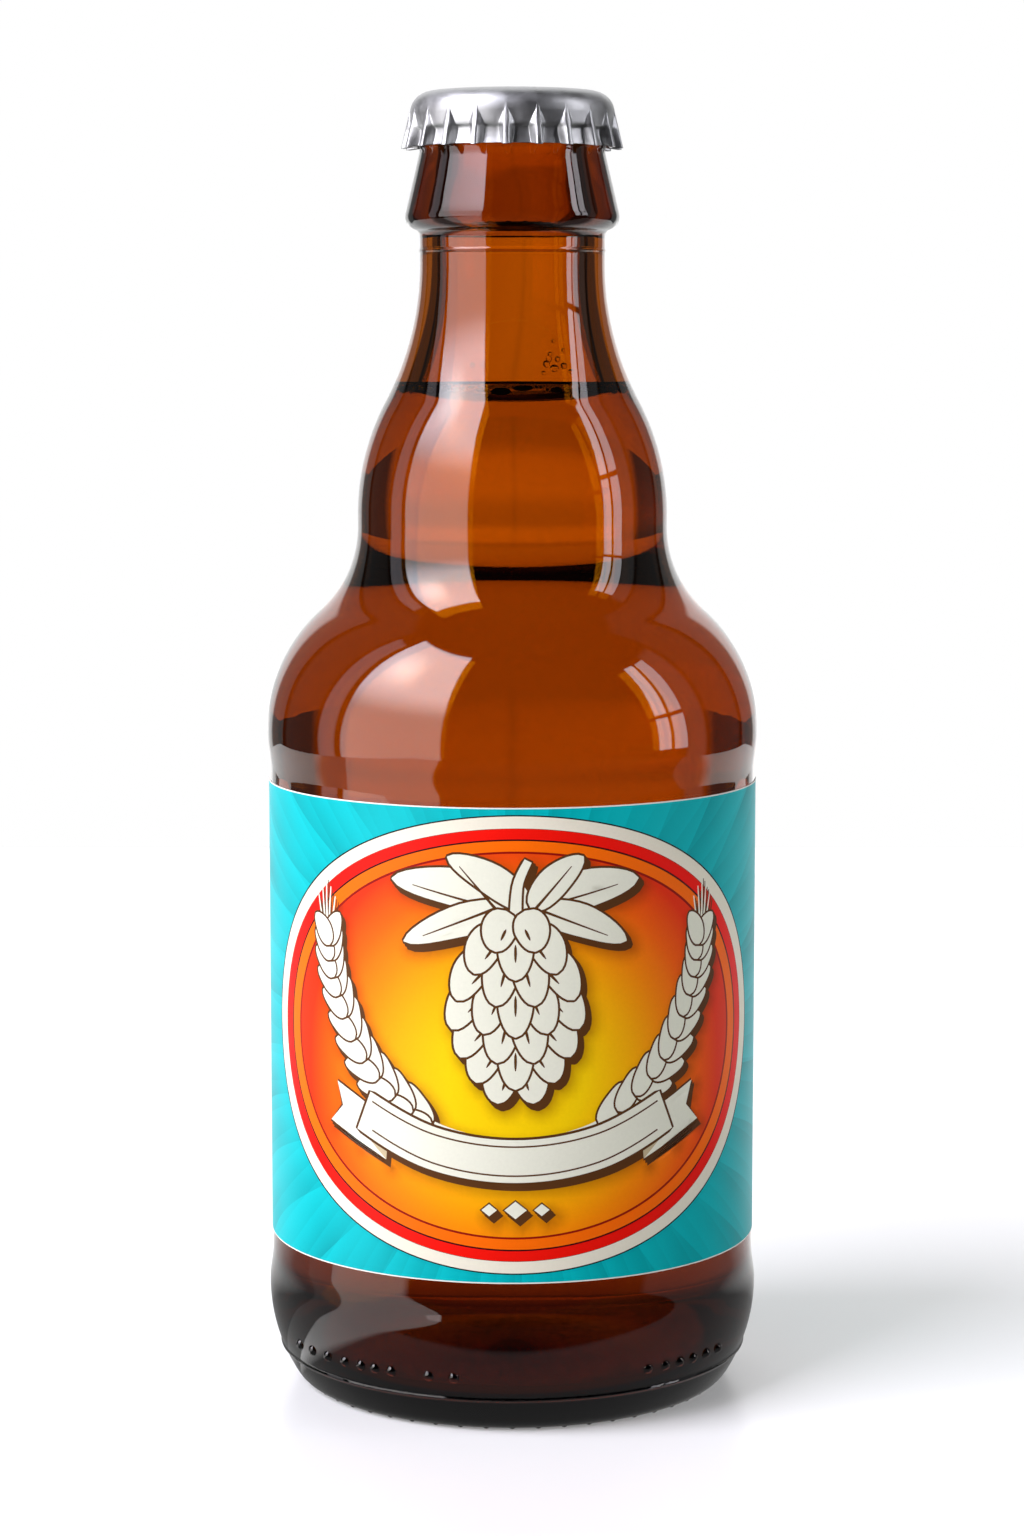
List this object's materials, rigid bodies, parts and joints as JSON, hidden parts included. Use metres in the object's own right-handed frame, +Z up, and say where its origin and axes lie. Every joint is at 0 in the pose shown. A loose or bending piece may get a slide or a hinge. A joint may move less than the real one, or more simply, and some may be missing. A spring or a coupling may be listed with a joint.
{
  "type": "beer bottle",
  "caption": "Stubby brown glass bottle of beer with a long rounded neck, a crimped metal crown cap and a wraparound paper label on its straight body.",
  "frame": {"origin": "centre of the circle that the bottle stands on", "axes": "+Z up along the bottle's axis, -Y towards the middle of the label's front, +X to the right of it"},
  "size_m": [0.0666, 0.0666, 0.1743],
  "materials": {
    "brown_glass": "clear, glossy, brown soda-lime glass",
    "beer": "clear golden liquid",
    "tinplate": "bare tinplate, satin, brighter on the folds",
    "label_paper": "printed paper, satin"
  },
  "bodies": {
    "root": {"bottle_glass": "brown_glass", "beer": "beer", "crown_cap": "tinplate", "label": "label_paper"}
  },
  "joints": []
}
